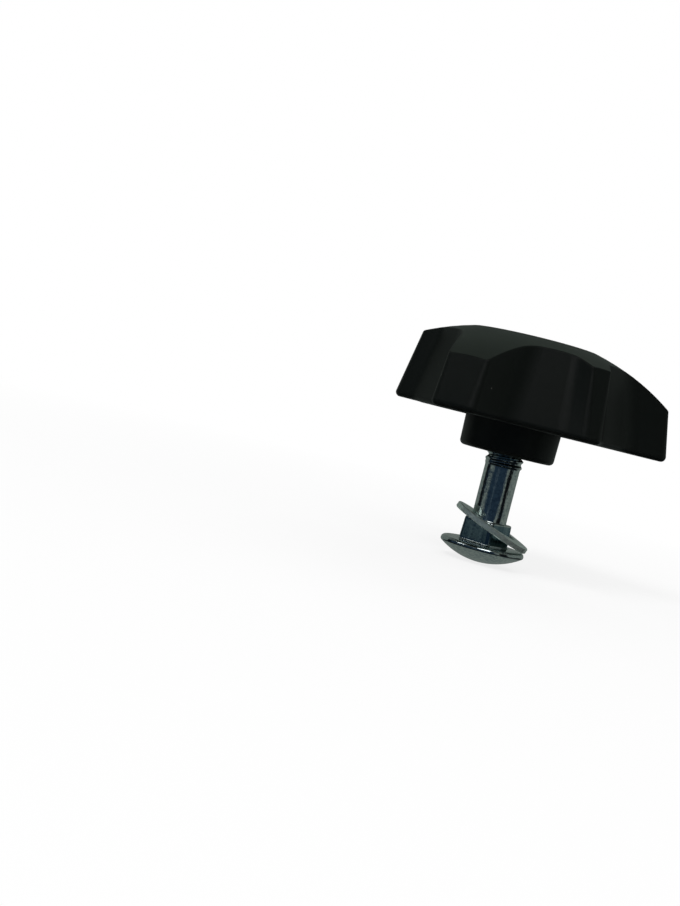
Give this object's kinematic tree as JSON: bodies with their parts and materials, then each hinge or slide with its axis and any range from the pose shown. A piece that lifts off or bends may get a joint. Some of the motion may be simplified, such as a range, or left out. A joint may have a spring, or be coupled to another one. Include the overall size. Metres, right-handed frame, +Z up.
{
  "type": "star knob",
  "caption": "Lobed clamping knob with a captive hex nut on a square-necked carriage bolt, with a loose flat washer",
  "frame": {"origin": "centre of the lower end of the moulded boss, on the bolt axis", "axes": "+Z runs up the bolt axis to the crown of the knob, and a large lobe points along +X"},
  "size_m": [0.0574, 0.0586, 0.0477],
  "materials": {
    "knob_plastic": "fine spark-eroded grain on the crown, smoother sides",
    "nut_steel": "dark, lightly oiled steel",
    "bolt_zinc": "bright zinc plating",
    "washer_zinc": "bright zinc plating, satin"
  },
  "bodies": {
    "bolt": {"carriage_bolt": "bolt_zinc", "washer": "washer_zinc"},
    "knob": {"knob_body": "knob_plastic", "hex_nut": "nut_steel"}
  },
  "joints": [
    {"name": "knob_turn", "type": "hinge", "parent": "bolt", "child": "knob", "pos_m": [0, 0, 0.0092], "axis": [0, 0, 1], "continuous": true}
  ]
}
